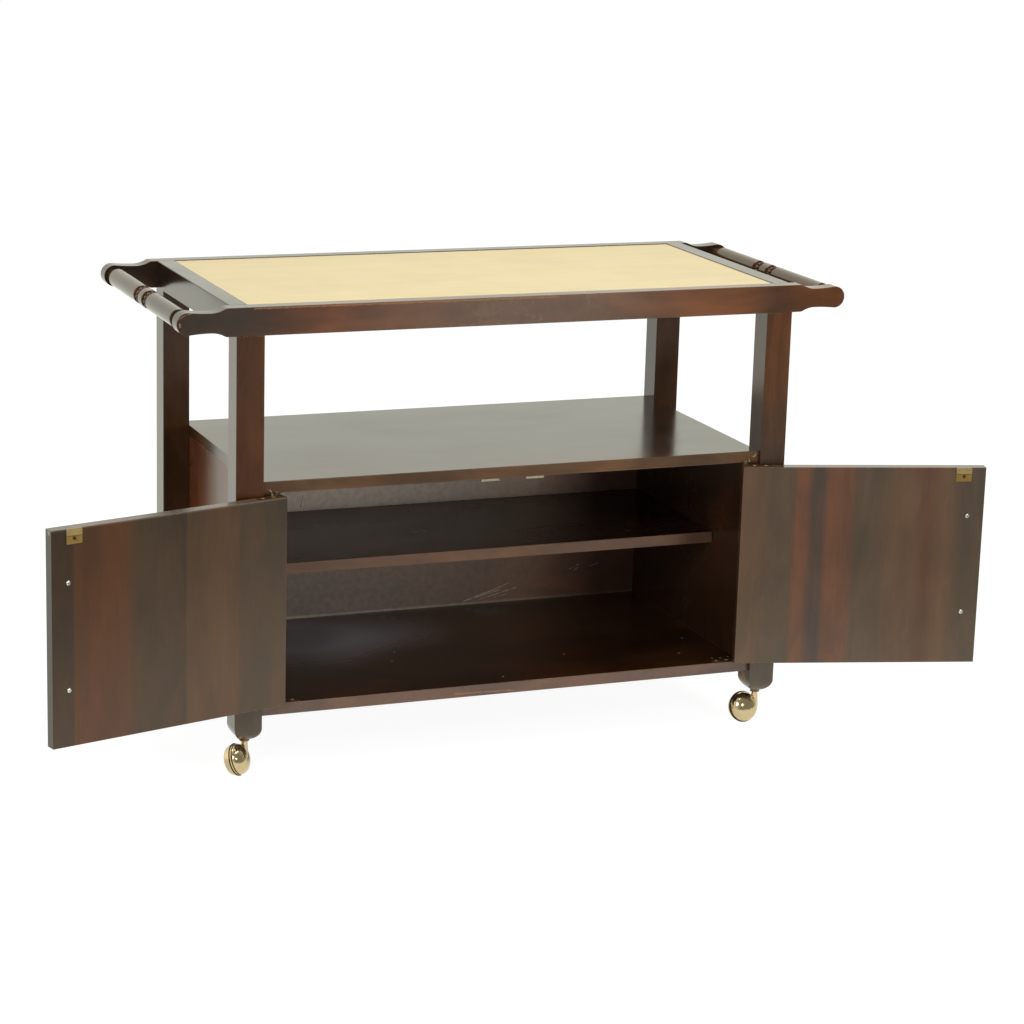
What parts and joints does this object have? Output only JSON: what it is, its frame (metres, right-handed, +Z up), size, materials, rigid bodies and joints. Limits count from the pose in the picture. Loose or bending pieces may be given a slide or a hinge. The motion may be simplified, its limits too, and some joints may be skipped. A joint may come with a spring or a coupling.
{
  "type": "bar cart",
  "caption": "Rolling bar cart: cream laminate serving top in a dark wood frame with turned end handles, two-door cabinet with shelf between square posts, brass ball casters.",
  "frame": {"origin": "middle, on the floor, of the box of the whole object with its doors standing open", "axes": "+X to the right along the front, +Y from the front to the back, +Z up"},
  "size_m": [1.6788, 0.6247, 0.795],
  "materials": {
    "frame_wood": "dark mahogany stain under satin lacquer",
    "door_wood": "dark mahogany stain under satin lacquer",
    "turned_wood": "dark stain under satin lacquer, turned",
    "inner_wood": "dark reddish stain, satin",
    "laminate": "cream laminate, semi-matt",
    "brass": "polished",
    "caster_brass": "polished, lightly rubbed",
    "steel": "plain zinc"
  },
  "bodies": {
    "cart": {"front_rail": "frame_wood", "back_rail": "frame_wood", "left_end_rail": "frame_wood", "right_end_rail": "frame_wood", "top_cleats": "inner_wood", "top_board": "inner_wood", "laminate_top": "laminate", "left_handle": "turned_wood", "right_handle": "turned_wood", "front_left_post": "frame_wood", "front_right_post": "frame_wood", "back_left_post": "frame_wood", "back_right_post": "frame_wood", "cabinet_top": "frame_wood", "cabinet_bottom": "frame_wood", "left_side_panel": "inner_wood", "right_side_panel": "inner_wood", "back_panel": "inner_wood", "middle_shelf": "inner_wood", "shelf_pins": "steel", "side_panel_screws": "brass", "cabinet_hinge_leaves": "brass", "hinge_pins": "brass", "cabinet_hinge_screws": "brass", "door_catches": "brass", "catch_screws": "steel", "caster_sockets": "caster_brass"},
    "left_door": {"left_door": "door_wood", "left_door_hinge_leaves": "brass", "left_door_hinge_screws": "brass", "left_strike_plate": "brass", "left_strike_screw": "steel", "left_pull": "brass", "left_pull_screws": "steel"},
    "right_door": {"right_door": "door_wood", "right_door_hinge_leaves": "brass", "right_door_hinge_screws": "brass", "right_strike_plate": "brass", "right_strike_screw": "steel", "right_pull": "brass", "right_pull_screws": "steel"},
    "front_left_caster": {"front_left_hood": "caster_brass", "front_left_axle": "steel"},
    "front_left_wheel": {"front_left_wheel": "caster_brass"},
    "front_right_caster": {"front_right_hood": "caster_brass", "front_right_axle": "steel"},
    "front_right_wheel": {"front_right_wheel": "caster_brass"},
    "back_left_caster": {"back_left_hood": "caster_brass", "back_left_axle": "steel"},
    "back_left_wheel": {"back_left_wheel": "caster_brass"},
    "back_right_caster": {"back_right_hood": "caster_brass", "back_right_axle": "steel"},
    "back_right_wheel": {"back_right_wheel": "caster_brass"}
  },
  "joints": [
    {"name": "left_door_hinge", "type": "hinge", "parent": "cart", "child": "left_door", "pos_m": [-0.428, -0.1799, 0.3005], "axis": [0, 0, -1], "range_deg": [-164.8, 0.4]},
    {"name": "right_door_hinge", "type": "hinge", "parent": "cart", "child": "right_door", "pos_m": [0.428, -0.1799, 0.3005], "axis": [0, 0, 1], "range_deg": [-164.8, 0.4]},
    {"name": "front_left_swivel", "type": "hinge", "parent": "cart", "child": "front_left_caster", "pos_m": [-0.47625, -0.16375, 0.059], "axis": [0, 0, 1], "continuous": true},
    {"name": "front_left_roll", "type": "hinge", "parent": "front_left_caster", "child": "front_left_wheel", "pos_m": [-0.49243, -0.17759, 0.02694], "axis": [0.7286, -0.6113, 0.309], "continuous": true},
    {"name": "front_right_swivel", "type": "hinge", "parent": "cart", "child": "front_right_caster", "pos_m": [0.47625, -0.16375, 0.059], "axis": [0, 0, 1], "continuous": true},
    {"name": "front_right_roll", "type": "hinge", "parent": "front_right_caster", "child": "front_right_wheel", "pos_m": [0.45503, -0.16209, 0.02694], "axis": [0.0829, -0.9474, 0.309], "continuous": true},
    {"name": "back_left_swivel", "type": "hinge", "parent": "cart", "child": "back_left_caster", "pos_m": [-0.47625, 0.28875, 0.059], "axis": [0, 0, 1], "continuous": true},
    {"name": "back_left_roll", "type": "hinge", "parent": "back_left_caster", "child": "back_left_wheel", "pos_m": [-0.49718, 0.28486, 0.02694], "axis": [0.3253, -0.8937, 0.309], "continuous": true},
    {"name": "back_right_swivel", "type": "hinge", "parent": "cart", "child": "back_right_caster", "pos_m": [0.47625, 0.28875, 0.059], "axis": [0, 0, 1], "continuous": true},
    {"name": "back_right_roll", "type": "hinge", "parent": "back_right_caster", "child": "back_right_wheel", "pos_m": [0.45506, 0.28669, 0.02694], "axis": [0.2462, -0.9186, 0.309], "continuous": true}
  ]
}
